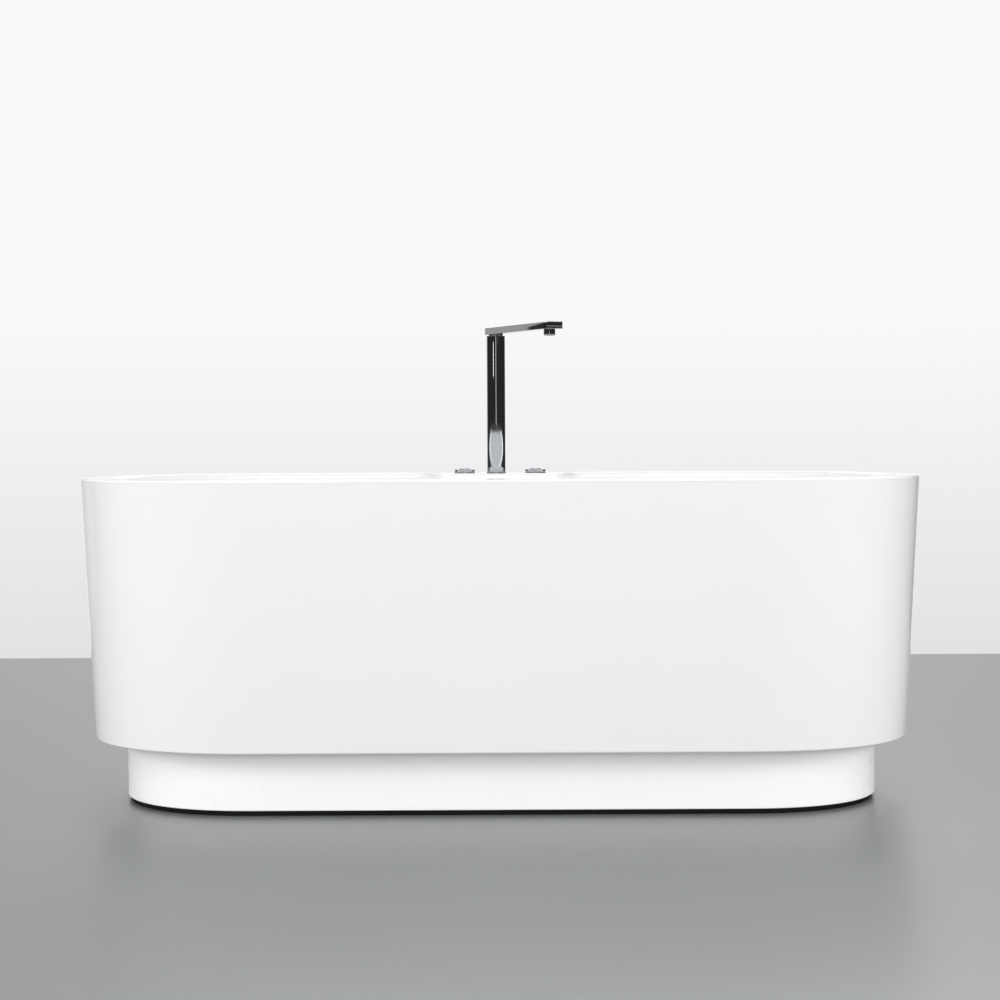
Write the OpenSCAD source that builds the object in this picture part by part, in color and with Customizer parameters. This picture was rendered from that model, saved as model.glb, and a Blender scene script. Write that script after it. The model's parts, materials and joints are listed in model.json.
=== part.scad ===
// Freestanding double-ended bathtub on a recessed plinth, with a rear tap ledge.
// Frame: +X along the tub, +Y towards the tap ledge, +Z up, origin on the floor under the tub's centre.
// Everything is in millimetres and degrees.

/* [Tub] */
// Length over the rim
tub_l = 1700; // [1400:10:2100]
// Width over the rim
tub_w = 750; // [680:10:950]
// Height of the rim above the floor
tub_h = 650; // [560:5:780]
// How far the outer shell draws in from the rim to its lower edge, on each side
draw_in = 26; // [0:1:60]
// Height of the outer shell's lower edge above the floor
skirt_z = 128; // [105:1:170]
// Wall of the acrylic shells
shell_t = 6; // [4:0.5:8]
// Width of the rim round the basin
rim_w = 48; // [35:1:70]
// Radius of the rim's outer edge and the skirt's lower edge
edge_r = 4; // [2:0.5:5]
// Radius of the rim's inner edge
inner_r = 10; // [4:0.5:14]
// Squareness of the rounded ends: 2 is a half ellipse
end_power = 2.2; // [2:0.05:3]

/* [Basin] */
// Depth of the basin below the rim
basin_depth = 445; // [380:5:470]
// How far each end wall comes in from the rim to the floor
end_slope = 262; // [180:2:320]
// How far each long wall comes in from the rim to the floor
side_slope = 120; // [90:1:150]

/* [Tap ledge] */
// Length of the ledge along the tub
ledge_w = 296; // [250:2:340]
// Depth of the ledge, from the tub's outer edge to its front wall
ledge_d = 160; // [145:1:175]
// How far the ledge's front wall comes in from the rim to the floor
ledge_slope = 48; // [20:1:60]
// Length over which the ledge runs out into the rim at each end
ledge_blend = 56; // [40:2:100]

/* [Plinth] */
// How far the plinth's face sits behind the skirt's lower edge
plinth_inset = 63; // [45:1:80]
// Wall of the plinth
plinth_t = 8; // [5:0.5:12]
// Height of the dark seal between the plinth and the floor
seal_h = 10; // [6:0.5:15]
// How far the seal sits behind the plinth's face
seal_inset = 5; // [2:0.5:10]
// Thickness of the seal
seal_t = 12; // [8:0.5:16]

/* [Frame] */
// Side of the square steel tubes
tube = 30; // [25:1:35]
// Wall of the steel tubes
tube_t = 2; // [1.5:0.5:3]
// Thickness of the board bonded under the basin's floor
board_t = 15; // [12:1:18]
// Distance between the two rails
rail_gap = 280; // [240:5:300]
// Distance between the outer pair of crossbeams
beam_gap = 860; // [760:10:940]
// Distance between the feet across the tub
foot_gap = 420; // [380:5:440]
// Diameter of a foot's threaded rod
rod_d = 12; // [10:1:14]
// Diameter of a foot's pad
pad_d = 50; // [40:1:60]

/* [Spout] */
// Diameter of the spout's column
column_d = 40; // [38:1:44]
// Height of the column above the rim
column_h = 298; // [200:1:340]
// Distance of the tap holes from the tub's outer edge
tap_inset = 70; // [62:1:80]
// How far the column stands to the left of the ledge's middle
column_shift = 8; // [0:1:12]
// Width of the spout's arm
arm_w = 36; // [30:1:40]
// Thickness of the spout's arm
arm_t = 15; // [14:0.5:18]
// Reach of the arm from the column's axis to its tip
arm_reach = 300; // [180:2:360]
// Angle of the arm at rest, from straight over the basin towards the right
arm_turn = 24; // [-40:1:40]
// Height of the swivel washer between column and arm
swivel_h = 3; // [2:0.5:5]
// Diameter of the aerator
aerator_d = 24; // [22:0.5:28]
// Distance of the aerator's axis from the arm's tip
aerator_inset = 26; // [20:1:40]
// How far the aerator stands below the arm
aerator_h = 13; // [8:0.5:16]

/* [Valves] */
// Distance between the two knobs
knob_gap = 154; // [150:1:170]
// Diameter of a knob
knob_d = 44; // [38:1:50]
// Height of a knob above its ring
knob_h = 8; // [6:0.5:14]
// Diameter of a valve's neck
neck_d = 24; // [22:0.5:28]
// Diameter over the thread of a valve's inlet
inlet_d = 20.96; // [16:0.01:26]
// Diameter of the two supply tails
tail_d = 15; // [12:0.5:16]
// Distance of the tails from the tub's outer edge where they reach the floor
tail_inset = 135; // [125:1:150]

/* [Waste and overflow] */
// Diameter of the waste hole in the basin's floor
waste_d = 52; // [48:0.5:56]
// Diameter of the waste plug
plug_d = 62; // [60:1:70]
// How far the plug lifts
plug_lift = 8; // [6:0.5:9]
// Depth of the overflow's centre below the rim
overflow_drop = 92; // [88:1:110]
// Diameter of the overflow knob
overflow_d = 68; // [60:1:74]
// Outer diameter of the outlet pipe
outlet_d = 40; // [32:1:50]
// Distance from the waste to the outlet along the tub
outlet_x = 190; // [150:5:240]

/* [Hidden] */
// Clearance of a turning fit, a threaded pair and a bolt in its hole, and how far a cutter runs past a face
fit_gap = 0.05;
thread_gap = 0.2;
bolt_gap = 0.5;
past = 1;
// Bolt size for the frame and the plinth's brackets
bolt_d = 6;
// Points: round a quarter of an end, from the end to the ledge, and along half the ledge
end_pts = 10;
side_pts = 5;
ledge_pts = 8;
quarter_pts = end_pts + side_pts + ledge_pts;
$fn = 64;

half_l = tub_l / 2;
half_w = tub_w / 2;
rim_t = shell_t;
basin_z = tub_h - basin_depth;
// Width of the flange under the outer shell, which runs in past the plinth
shelf_lap = 12;
shelf_w = plinth_inset + plinth_t + shelf_lap;
board_z = basin_z - shell_t - board_t;
rail_z = board_z - tube;
beam_z = rail_z - tube;
wall_y = half_w - ledge_d;
tap_y = half_w - tap_inset;
ledge_board_t = 12;
board_under = tub_h - rim_t - ledge_board_t;
overflow_z = tub_h - overflow_drop;

// ---------------------------------------------------------------- outlines and lofts

// One point of the plan outline's first quarter: round the end, then along the straight side
function quarter_point(a, b, i) =
    let (s = a - b, turn = 90 * i / end_pts, edge = ledge_w / 2 + ledge_blend / 2,
         j = i - end_pts, k = j - side_pts)
    i <= end_pts ? [s + b * pow(cos(turn), 2 / end_power), b * pow(sin(turn), 2 / end_power)]
    : j <= side_pts ? [s - (s - edge) * j / side_pts, b]
    : [edge * (1 - k / ledge_pts), b];

// Share of the ledge at a distance x from its middle: 1 on it, 0 beyond it, with a smooth run-out
function ledge_share(x) =
    let (t = max(0, min(1, (ledge_w / 2 + ledge_blend / 2 - abs(x)) / ledge_blend)))
    t * t * (3 - 2 * t);

// A closed ring of points at height z, whose rear side comes in by inward where the ledge is
function ring(a, b, z, inward = 0) = [
    for (q = [0:3], i = [0:quarter_pts - 1])
    let (p = quarter_point(a, b, q % 2 == 0 ? i : quarter_pts - i),
         x = (q == 0 || q == 3) ? p[0] : -p[0],
         y = q < 2 ? p[1] - inward * ledge_share(p[0]) : -p[1])
    [x, y, z]
];

function flat(rings) = [for (r = rings, p = r) p];

// A solid through a list of rings. With hollow it closes on itself like a pipe's wall,
// otherwise it is capped.
module loft(rings, hollow = false) {
    n = len(rings[0]);
    m = len(rings);
    walls = [
        for (r = [0:(hollow ? m - 1 : m - 2)], i = [0:n - 1], half = [0, 1])
        let (a = r * n, b = ((r + 1) % m) * n, j = (i + 1) % n)
        half == 0 ? [b + j, a + j, a + i] : [b + i, b + j, a + i]
    ];
    caps = hollow ? [] : [[for (i = [0:n - 1]) i], [for (i = [n - 1:-1:0]) (m - 1) * n + i]];
    polyhedron(points = flat(rings), faces = concat(walls, caps), convexity = 10);
}

// Half-width of the outline at an inset from the rim, at a distance x from the tub's middle
function side_y(inset, x) =
    lookup(abs(x), [for (i = [0:end_pts]) quarter_point(half_l - inset, half_w - inset, i)]);

// The plan outline as a flat polygon, with half-length a and half-width b
module plan(a, b) {
    polygon([for (p = ring(a, b, 0)) [p[0], p[1]]]);
}

// The same, at an inset from the rim all round
module outline(inset) {
    plan(half_l - inset, half_w - inset);
}

// ---------------------------------------------------------------- profile of the basin

// Cubic curve from the rim (0) to the floor (1): how far in and how far down, as shares
function wall_in(t) = 3 * pow(1 - t, 2) * t * 0.18 + 3 * (1 - t) * t * t * 0.38 + t * t * t;
function wall_down(t) = 3 * pow(1 - t, 2) * t * 0.55 + 3 * (1 - t) * t * t + t * t * t;
function wall_z(t) = tub_h - inner_r - (basin_depth - inner_r) * wall_down(t);

// Lean of the wall from upright at t, for the offset to the shell's outer face
function wall_lean(t) =
    let (d = 0.01, u = min(1, t + d), v = max(0, t - d))
    atan2(side_slope * (wall_in(u) - wall_in(v)), (basin_depth - inner_r) * (wall_down(u) - wall_down(v)));

function wall_ring(t, out = 0, down = 0) = ring(
    half_l - rim_w - end_slope * wall_in(t) + out,
    half_w - rim_w - side_slope * wall_in(t) + out,
    wall_z(t) - down,
    ledge_d - rim_w - (side_slope - ledge_slope) * wall_in(t)
);

function rim_ring(inset, z, ledge = 0) = ring(half_l - inset, half_w - inset, z, ledge);

// Share of the wall's height at height z, found by halving
function share_at(z, low = 0, high = 1, tries = 20) =
    let (t = (low + high) / 2)
    tries == 0 ? t : wall_z(t) > z ? share_at(z, t, high, tries - 1) : share_at(z, low, t, tries - 1);

// Where the inside of the ledge's front wall is, at height z
function ledge_face(z) = wall_y - ledge_slope * wall_in(share_at(z));

// ---------------------------------------------------------------- the tub

// Where the valves, the spout and the overflow go
column_x = -column_shift;
knob_x = knob_gap / 2;
column_hole = 34;
valve_hole = neck_d + 4;
overflow_hole = 44;

module tap_holes(z, h) {
    translate([column_x, tap_y, z]) cylinder(d = column_hole, h = h);
    for (side = [-1, 1]) translate([side * knob_x, tap_y, z]) cylinder(d = valve_hole, h = h);
}

module basin() {
    steps = [1, 0.9, 0.8, 0.68, 0.55, 0.4, 0.25, 0.12, 0];
    ledge = ledge_d - rim_w;
    inside = [for (t = steps) wall_ring(t)];
    inner_edge = [for (turn = [60, 30, 0])
        rim_ring(rim_w - inner_r + inner_r * sin(turn), tub_h - inner_r + inner_r * cos(turn), ledge)];
    outer_edge = [for (turn = [90, 60, 30, 0])
        rim_ring(edge_r * (1 - cos(turn)), tub_h - edge_r + edge_r * sin(turn))];
    under = [rim_ring(0, tub_h - rim_t), rim_ring(rim_w - shell_t, tub_h - rim_t, ledge)];
    outside = [for (k = [len(steps) - 2:-1:0])
        let (t = steps[k], lean = k == 0 ? 90 : wall_lean(t))
        wall_ring(t, shell_t * (k == 0 ? 0.3 : cos(lean)), shell_t * sin(lean))];
    color("white") difference() {
        loft(concat(inside, inner_edge, outer_edge, under, outside));
        tap_holes(tub_h - 2 * rim_t, 3 * rim_t);
        translate([0, 0, basin_z - 2 * shell_t]) cylinder(d = waste_d, h = 3 * shell_t);
        translate([0, wall_y - 30, overflow_z]) rotate([-90, 0, 0]) cylinder(d = overflow_hole, h = 60);
    }
}

module outer_shell() {
    top = tub_h - rim_t;
    low = skirt_z + edge_r;
    slope = draw_in / (top - skirt_z);
    function face(z, extra = 0) =
        let (inset = slope * (top - z) + extra)
        ring(half_l - inset, half_w - inset, z);
    rounded = [for (turn = [0, 30, 60, 90]) ring(
        half_l - draw_in - edge_r * (1 - cos(turn)), half_w - draw_in - edge_r * (1 - cos(turn)),
        low - edge_r * sin(turn))];
    color("white") loft(concat(
        [for (k = [0:3]) face(top - (top - low) * k / 4)],
        rounded,
        [ring(half_l - draw_in - shelf_w, half_w - draw_in - shelf_w, skirt_z),
         ring(half_l - draw_in - shelf_w, half_w - draw_in - shelf_w, skirt_z + shell_t),
         face(skirt_z + shell_t, shell_t),
         face(top, shell_t)]
    ), hollow = true);
}

// Board bonded under the basin's floor, with a hole that clears the waste's body
module base_board() {
    end_margin = 20;
    side_margin = 13;
    hole_d = waste_d + 36;
    color("burlywood") difference() {
        translate([0, 0, board_z]) linear_extrude(board_t)
            plan(half_l - rim_w - end_slope - end_margin, wall_y - ledge_slope - side_margin);
        translate([0, 0, board_z - past]) cylinder(d = hole_d, h = board_t + 2 * past);
    }
}

// Plywood under the ledge, which the nuts clamp against
module ledge_board() {
    front = wall_y + shell_t + 6;
    back = half_w - shell_t - 14;
    board_w = ledge_w - ledge_blend - 10;
    color("burlywood") difference() {
        translate([-board_w / 2, front, board_under]) cube([board_w, back - front, ledge_board_t]);
        tap_holes(board_under - past, ledge_board_t + 2 * past);
    }
}

// Timber batten under the rim, round the tub between the two shells
module rim_batten() {
    h = 16;
    outer_gap = 3;
    inner_gap = 8;
    cut = 10;
    color("burlywood") translate([0, 0, tub_h - rim_t - h]) difference() {
        linear_extrude(h) difference() {
            outline(shell_t + outer_gap);
            outline(rim_w - shell_t - inner_gap);
        }
        translate([-ledge_w / 2 - ledge_blend / 2, half_w - rim_w - cut, -past])
            cube([ledge_w + ledge_blend, rim_w + 2 * cut, h + 2 * past]);
    }
}

plinth_face = draw_in + plinth_inset;

module plinth() {
    color("white") translate([0, 0, seal_h]) linear_extrude(skirt_z - seal_h) difference() {
        outline(plinth_face);
        outline(plinth_face + plinth_t);
    }
}

module plinth_seal() {
    color("black") linear_extrude(seal_h) difference() {
        outline(plinth_face + seal_inset);
        outline(plinth_face + seal_inset + seal_t);
    }
}

// ---------------------------------------------------------------- frame and feet

beam_x = beam_gap / 2;
foot_y = foot_gap / 2;
beam_l = foot_gap + 60;
rail_l = beam_gap + 160;

module box_tube(l) {
    difference() {
        translate([-l / 2, -tube / 2, 0]) cube([l, tube, tube]);
        translate([-l / 2 - 1, -tube / 2 + tube_t, tube_t])
            cube([l + 2, tube - 2 * tube_t, tube - 2 * tube_t]);
    }
}

module rail(side) {
    color("gainsboro") difference() {
        translate([0, side * rail_gap / 2, rail_z]) box_tube(rail_l);
        for (x = [-beam_x, beam_x]) translate([x, side * rail_gap / 2, rail_z - 1])
            cylinder(d = bolt_d + bolt_gap, h = tube_t + 2);
    }
}

module crossbeam(side) {
    color("gainsboro") difference() {
        translate([side * beam_x, 0, beam_z]) rotate(90) box_tube(beam_l);
        for (y = [-foot_y, foot_y]) translate([side * beam_x, y, beam_z - 1])
            cylinder(d = rod_d + bolt_gap, h = tube + 2);
        for (y = [-rail_gap / 2, rail_gap / 2]) translate([side * beam_x, y, beam_z - 1])
            cylinder(d = bolt_d + bolt_gap, h = tube + 2);
        for (y = [-screw_y, screw_y]) translate([side * beam_x, y, beam_z - 1])
            cylinder(d = screw_d, h = tube_t + 2);
    }
}

// A hexagon bolt, head down, with its axis up from the origin
module bolt(l) {
    translate([0, 0, -4]) cylinder(d = bolt_d * 1.9, h = 4, $fn = 6);
    cylinder(d = bolt_d, h = l);
}

module frame_bolts() {
    color("silver") for (x = [-beam_x, beam_x], y = [-rail_gap / 2, rail_gap / 2])
        translate([x, y, beam_z]) {
            bolt(tube + tube_t + 8);
            translate([0, 0, tube + tube_t]) cylinder(d = bolt_d * 1.9, h = 5, $fn = 6);
        }
}

pad_h = 14;
rod_z = 5;
lock_h = 10;

module at_feet() {
    for (x = [-beam_x, beam_x], y = [-foot_y, foot_y]) translate([x, y, 0]) children();
}

module foot_pads() {
    color("dimgray") at_feet() difference() {
        rotate_extrude() polygon([
            [0, 0], [pad_d / 2 - 1, 0], [pad_d / 2, 1], [pad_d / 2, 4], [pad_d / 2 - 3, 6],
            [rod_d, 9], [rod_d, pad_h], [0, pad_h]
        ]);
        translate([0, 0, rod_z]) cylinder(d = rod_d + 2 * fit_gap, h = pad_h);
    }
}

module foot_rods() {
    top = beam_z + tube + 12;
    color("silver") at_feet() rotate_extrude() polygon([
        [0, rod_z], [rod_d / 2, rod_z], [rod_d / 2, top - 1], [rod_d / 2 - 1, top], [0, top]
    ]);
}

module foot_nuts() {
    color("silver") for (z = [beam_z - lock_h, beam_z + tube]) at_feet() translate([0, 0, z]) difference() {
        cylinder(d = rod_d * 1.8, h = lock_h, $fn = 6);
        translate([0, 0, -1]) cylinder(d = rod_d + thread_gap, h = lock_h + 2);
    }
}

// Stepped brackets that hold the plinth to the crossbeams, and the screws that hold the brackets.
// Each one runs out under the beam's end, down inside the shell's flange, and out again to the plinth.
bracket_t = 2;
bracket_w = 30;
bracket_tab = 20;
bracket_z = min(beam_z, skirt_z) - bracket_t - bracket_w;
bracket_start = beam_l / 2 - 14;
screw_y = beam_l / 2 - 7;
screw_d = 4.8;

module at_brackets() {
    for (x = [-beam_x, beam_x], side = [0, 1]) translate([x, 0, 0]) mirror([0, side, 0]) children();
}

module plinth_brackets() {
    inner = side_y(plinth_face + plinth_t, beam_x + bracket_w / 2);
    step = side_y(draw_in + shelf_w, beam_x + bracket_w / 2) - 2 * bracket_t;
    color("silver") at_brackets() difference() {
        translate([-bracket_w / 2, 0, 0]) {
            translate([0, bracket_start, beam_z - bracket_t])
                cube([bracket_w, step - bracket_start, bracket_t]);
            translate([0, step - bracket_t, bracket_z])
                cube([bracket_w, bracket_t, beam_z - bracket_z]);
            translate([0, step - bracket_t, bracket_z])
                cube([bracket_w, inner - step + bracket_t, bracket_t]);
            translate([0, inner - bracket_t, bracket_z])
                cube([bracket_w, bracket_t, bracket_tab]);
        }
        translate([0, screw_y, beam_z - 2 * bracket_t]) cylinder(d = screw_d + bolt_gap, h = 3 * bracket_t);
    }
}

module bracket_screws() {
    color("silver") at_brackets() translate([0, screw_y, beam_z - bracket_t - 3]) {
        cylinder(d = screw_d * 1.8, h = 3, $fn = 6);
        cylinder(d = screw_d, h = 3 + bracket_t + 10);
    }
}

// ---------------------------------------------------------------- waste

flange_d = 72;
flange_t = 3;
sleeve_d = waste_d - 2;
sleeve_z = basin_z - 26;
cup_z = 36;
body_z = 112;
body_d = 70;
body_bore = sleeve_d + 2 * thread_gap;

module drain_flange() {
    color("silver") rotate_extrude() polygon([
        [sleeve_d / 2 - 3, sleeve_z], [sleeve_d / 2, sleeve_z], [sleeve_d / 2, basin_z],
        [flange_d / 2, basin_z],
        [flange_d / 2, basin_z + 1], [flange_d / 2 - 3, basin_z + flange_t],
        [sleeve_d / 2 + 1, basin_z + flange_t], [sleeve_d / 2 - 3, basin_z - 2]
    ]);
}

module waste_seal() {
    color("dimgray") translate([0, 0, basin_z - shell_t - 3]) difference() {
        cylinder(d = flange_d, h = 3);
        translate([0, 0, -1]) cylinder(d = waste_d, h = 5);
    }
}

hose_d = 26;
// The hose's level run passes under the rear rail
hose_gap = 1;
hose_z = rail_z - hose_d / 2 - hose_gap;
cable_d = 6;
cable_x = 24;
lift_y = 15;
lift_z = body_z + 11;
lift_d = 4;
ball_d = 8;
stem_z = lift_z + lift_d / 2 + 0.3;

module waste_body() {
    top = basin_z - shell_t - 3;
    color("whitesmoke") difference() {
        union() {
            translate([0, 0, body_z]) cylinder(d = body_d, h = top - body_z);
            translate([0, 0, hose_z]) rotate([-90, 0, 0]) cylinder(d = hose_d + 6, h = 52);
            translate([cable_x, 20, hose_z]) rotate([-90, 0, 0]) cylinder(d = cable_d + 6, h = 26);
            translate([0, 0, body_z - 16]) cylinder(d = outlet_d, h = 17);
        }
        translate([0, 0, sleeve_z - 6]) cylinder(d = body_bore, h = top - sleeve_z + 7);
        translate([0, 0, body_z + 6]) cylinder(d = body_bore - 6, h = sleeve_z - body_z);
        translate([0, 0, body_z - 17]) cylinder(d = outlet_d - 5, h = 30);
        translate([0, 24, hose_z]) rotate([-90, 0, 0]) cylinder(d = hose_d - 4, h = 30);
        translate([0, 42, hose_z]) rotate([-90, 0, 0]) cylinder(d = hose_d + 2 * thread_gap, h = 12);
        translate([cable_x, 36, hose_z]) rotate([-90, 0, 0]) cylinder(d = cable_d + 2 * thread_gap, h = 12);
        translate([-body_d, lift_y, lift_z]) rotate([0, 90, 0]) cylinder(d = lift_d, h = 2 * body_d);
    }
}

// Lever in the waste that the cable turns, and the pin that it turns on
module lift_arm() {
    color("silver") difference() {
        union() {
            translate([-4, lift_y, lift_z]) rotate([0, 90, 0]) cylinder(d = lift_d + 5, h = 8);
            translate([-2.5, -5, lift_z - lift_d / 2]) cube([5, lift_y + 5, lift_d]);
        }
        translate([-5, lift_y, lift_z]) rotate([0, 90, 0]) cylinder(d = lift_d + 2 * fit_gap, h = 10);
    }
}

module lift_pin() {
    color("silver") translate([-30, lift_y, lift_z]) rotate([0, 90, 0]) cylinder(d = lift_d, h = 60);
}

cap_z = basin_z + flange_t + 0.4;

module plug_cap() {
    r = plug_d / 2;
    edge_h = 2;
    crown = 3.5;
    steps = 6;
    color("silver") rotate_extrude() polygon(concat(
        [[0, cap_z], [r - 1, cap_z], [r, cap_z + 1]],
        [for (k = [0:steps])
            let (x = (r - 0.5) * (1 - k / steps))
            [x, cap_z + edge_h + crown * (1 - pow(x / r, 2))]]
    ));
}

// Round rod with a ball end, which rests on the lever
module plug_stem() {
    middle = stem_z + ball_d / 2;
    color("silver") {
        translate([0, 0, middle]) sphere(d = ball_d);
        translate([0, 0, middle]) cylinder(d = ball_d, h = cap_z - middle);
    }
}

// Soft ring under the cap, clear of the flange's seat by a hair so that the plug can lift
module plug_seal() {
    h = 4;
    color("black") translate([0, 0, cap_z - h]) difference() {
        cylinder(d = sleeve_d - 7, h = h);
        translate([0, 0, -1]) cylinder(d = ball_d, h = h + 2);
    }
}

// Height of the outlet's level stretch
pipe_z = 72;

module trap_cup() {
    top = body_z - 4;
    color("whitesmoke") difference() {
        union() {
            translate([0, 0, cup_z]) cylinder(d = 84, h = top - cup_z - 12);
            translate([0, 0, top - 12]) cylinder(d1 = 84, d2 = outlet_d + 14, h = 8);
            translate([-52, 0, pipe_z]) rotate([0, 90, 0]) cylinder(d = outlet_d + 8, h = 30);
        }
        translate([0, 0, cup_z + 4]) cylinder(d = 76, h = top - cup_z - 20);
        translate([0, 0, cup_z + 30]) cylinder(d = outlet_d + 2 * thread_gap, h = 80);
        translate([-53, 0, pipe_z]) rotate([0, 90, 0]) cylinder(d = outlet_d + 2 * thread_gap, h = 30);
    }
}

module trap_nut() {
    color("whitesmoke") translate([0, 0, body_z - 8]) difference() {
        cylinder(d = outlet_d + 18, h = 8, $fn = 12);
        translate([0, 0, -1]) cylinder(d = outlet_d + 2 * thread_gap, h = 10);
    }
}

bend_r = 34;
pipe_t = 2;
outlet_start = 44;
outlet_low = 4;

// The outlet's course at diameter d: level from the trap, then a quarter bend down to the floor
module outlet_course(d, extra = 0) {
    run = outlet_x - bend_r - outlet_start;
    translate([-outlet_start - run, 0, pipe_z]) rotate([0, 90, 0]) cylinder(d = d, h = run + extra);
    translate([-outlet_x + bend_r, 0, pipe_z - bend_r]) rotate([90, 0, 0]) rotate(90)
        rotate_extrude(angle = 90) translate([bend_r, 0]) circle(d = d);
    translate([-outlet_x, 0, outlet_low - extra]) cylinder(d = d, h = pipe_z - bend_r - outlet_low + extra);
}

module outlet_pipe() {
    color("whitesmoke") difference() {
        outlet_course(outlet_d);
        outlet_course(outlet_d - 2 * pipe_t, 1);
    }
}

module outlet_nut() {
    color("whitesmoke") translate([-64, 0, pipe_z]) rotate([0, 90, 0]) difference() {
        cylinder(d = outlet_d + 14, h = 12, $fn = 12);
        translate([0, 0, -1]) cylinder(d = outlet_d + 2 * thread_gap, h = 14);
    }
}

// ---------------------------------------------------------------- overflow

// The ledge's front wall at the overflow, inside and out
seal_d = 58;
seat_y = ledge_face(overflow_z);
back_y = ledge_face(overflow_z + seal_d / 2) + shell_t + 0.3;
seal_w = 3;
spindle_d = 8;
spindle_l = 44;

module along_y(y) {
    translate([0, y, overflow_z]) rotate([-90, 0, 0]) children();
}

module overflow_knob() {
    depth = 14;
    gap = 2.5;
    color("silver") along_y(seat_y - gap - depth) difference() {
        rotate_extrude() polygon([
            [0, 0], [overflow_d / 2 - 4, 0], [overflow_d / 2 - 1.2, 1.2], [overflow_d / 2, 4],
            [overflow_d / 2, depth], [overflow_d / 2 - 3, depth], [overflow_d / 2 - 3, 4],
            [9, 4], [9, depth - 3], [0, depth - 3]
        ]);
        translate([0, 0, 4]) cylinder(d = spindle_d, h = depth);
        for (turn = [0, 180]) rotate(turn) translate([overflow_d / 2 + 6, 0, -1])
            cylinder(d = 18, h = depth + 2);
    }
}

module overflow_spindle() {
    color("goldenrod") along_y(seat_y - 12.5) cylinder(d = spindle_d, h = spindle_l);
}

module overflow_seal() {
    color("dimgray") along_y(back_y) difference() {
        cylinder(d = seal_d, h = seal_w);
        translate([0, 0, -1]) cylinder(d = overflow_hole, h = seal_w + 2);
    }
}

overflow_body_l = 34;
hose_y = back_y + 21;
hose_top = overflow_z - 33;

module overflow_body() {
    start = back_y + seal_w;
    color("whitesmoke") difference() {
        union() {
            along_y(start) cylinder(d = seal_d, h = overflow_body_l);
            translate([0, hose_y, hose_top - 11]) cylinder(d = hose_d + 6, h = 44);
            translate([cable_x, hose_y, hose_top - 11]) cylinder(d = cable_d + 6, h = 34);
        }
        along_y(start - 1) cylinder(d = 40, h = overflow_body_l - 6);
        along_y(start - 1) cylinder(d = spindle_d + 2 * fit_gap, h = overflow_body_l + 2);
        translate([0, hose_y, hose_top]) cylinder(d = hose_d - 4, h = 20);
        translate([0, hose_y, hose_top - 12]) cylinder(d = hose_d + 2 * thread_gap, h = 12);
        translate([cable_x, hose_y, hose_top - 12]) cylinder(d = cable_d + 2 * thread_gap, h = 12);
    }
}

// Centre line of the hose and of the cable beside it, top to bottom, at a distance x from the middle.
// It drops behind the basin, turns under it in a quarter bend and runs level to the waste.
bend = 60;
function route(x, end_y) = concat(
    [for (k = [0:4]) [x, hose_y, hose_top - (hose_top - hose_z - bend) * k / 4]],
    [for (turn = [15:15:75]) [x, hose_y - bend * (1 - cos(turn)), hose_z + bend * (1 - sin(turn))]],
    [for (k = [0:3]) [x, hose_y - bend - (hose_y - bend - end_y) * k / 3, hose_z]]
);

// A tube of one polyhedron along points that lie close to a YZ plane
module sweep(route, d, sides = 10) {
    n = len(route);
    rings = [for (k = [0:n - 1])
        let (a = route[max(0, k - 1)], b = route[min(n - 1, k + 1)], t = (b - a) / norm(b - a),
             u = [1, 0, 0] - t[0] * t, ux = u / norm(u), uy = cross(t, ux))
        [for (i = [0:sides - 1]) route[k] + d / 2 * (cos(360 * i / sides) * ux + sin(360 * i / sides) * uy)]];
    loft(rings);
}

module overflow_hose() {
    color("gainsboro") sweep(route(0, 42), hose_d, 12);
}

module plug_cable() {
    color("dimgray") sweep(route(cable_x, 36), cable_d, 8);
}

// ---------------------------------------------------------------- spout

ring_h = 2.5;
column_z = tub_h + ring_h;
column_top = tub_h + column_h;
arm_z = column_top + swivel_h;
shank_d = 32;
bore_d = 34;
riser_d = 15;
tee_z = tub_h - 84;
nut_h = 9;
bush_l = 24;
spigot_d = 26;
groove_z = column_top - 14;
screw_l = 8;

module at_column() {
    translate([column_x, tap_y, 0]) children();
}

module spout_base_ring() {
    color("silver") at_column() translate([0, 0, tub_h]) difference() {
        union() {
            cylinder(d = column_d + 2.4, h = ring_h - 0.8);
            cylinder(d = column_d + 1, h = ring_h);
        }
        translate([0, 0, -1]) cylinder(d = shank_d + thread_gap, h = ring_h + 2);
    }
}

module spout_column() {
    color("silver") at_column() difference() {
        translate([0, 0, column_z]) cylinder(d = column_d, h = column_top - column_z);
        translate([0, 0, column_z - 1]) cylinder(d = shank_d + thread_gap, h = 20);
        translate([0, 0, column_z + 18]) cylinder(d = bore_d, h = column_h);
        translate([0, 0, groove_z]) rotate([-90, 0, 0]) cylinder(d = 4, h = column_d);
    }
}

module spout_shank() {
    color("goldenrod") at_column() difference() {
        translate([0, 0, tee_z + 20]) cylinder(d = shank_d, h = column_z + 16 - tee_z - 20);
        translate([0, 0, tee_z]) cylinder(d = riser_d + 2 * fit_gap, h = 200);
    }
}

module spout_washer() {
    color("dimgray") at_column() translate([0, 0, board_under - 3]) difference() {
        cylinder(d = 52, h = 3);
        translate([0, 0, -1]) cylinder(d = shank_d + 2 * thread_gap, h = 5);
    }
}

module spout_nut() {
    color("goldenrod") at_column() translate([0, 0, board_under - 3 - nut_h]) difference() {
        cylinder(d = 52, h = nut_h, $fn = 6);
        translate([0, 0, -1]) cylinder(d = shank_d + thread_gap, h = nut_h + 2);
    }
}

pipe_d = 12;

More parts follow.
